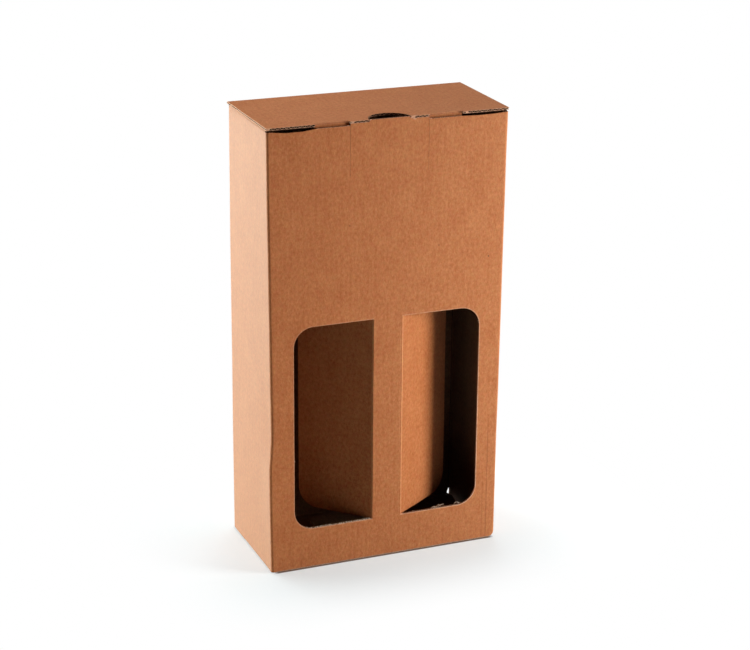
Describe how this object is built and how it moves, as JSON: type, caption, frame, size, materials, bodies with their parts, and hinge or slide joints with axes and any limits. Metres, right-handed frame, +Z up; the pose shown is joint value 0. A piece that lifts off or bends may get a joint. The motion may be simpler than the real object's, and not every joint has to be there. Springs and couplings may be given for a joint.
{
  "type": "bottle shipping box",
  "caption": "Upright corrugated bottle carton with front windows, window panels folded inward as dividers, and a tuck lid with thumb notch and locking tongue.",
  "frame": {"origin": "middle of the base, on the surface that the box stands on", "axes": "+Z up along the height, +X to the right seen from the windows, +Y towards the back panel"},
  "size_m": [0.1848, 0.0886, 0.34],
  "materials": {
    "kraft_board": "unprinted natural kraft liner over a small flute, matt, with a faint vertical flute pattern"
  },
  "bodies": {
    "carton": {"carton": "kraft_board"},
    "lid": {"lid": "kraft_board"},
    "divider_left": {"divider_left": "kraft_board"},
    "divider_right": {"divider_right": "kraft_board"}
  },
  "joints": [
    {"name": "lid_fold", "type": "hinge", "parent": "carton", "child": "lid", "pos_m": [0, 0.04374, 0.33949], "axis": [-1, 0, 0], "range_deg": [0, 180]},
    {"name": "divider_left_fold", "type": "hinge", "parent": "carton", "child": "divider_left", "pos_m": [-0.01125, -0.04425, 0.1115], "axis": [0, 0, -1], "range_deg": [-46, 44]},
    {"name": "divider_right_fold", "type": "hinge", "parent": "carton", "child": "divider_right", "pos_m": [0.01125, -0.04425, 0.1115], "axis": [0, 0, 1], "range_deg": [-35, 55]}
  ]
}
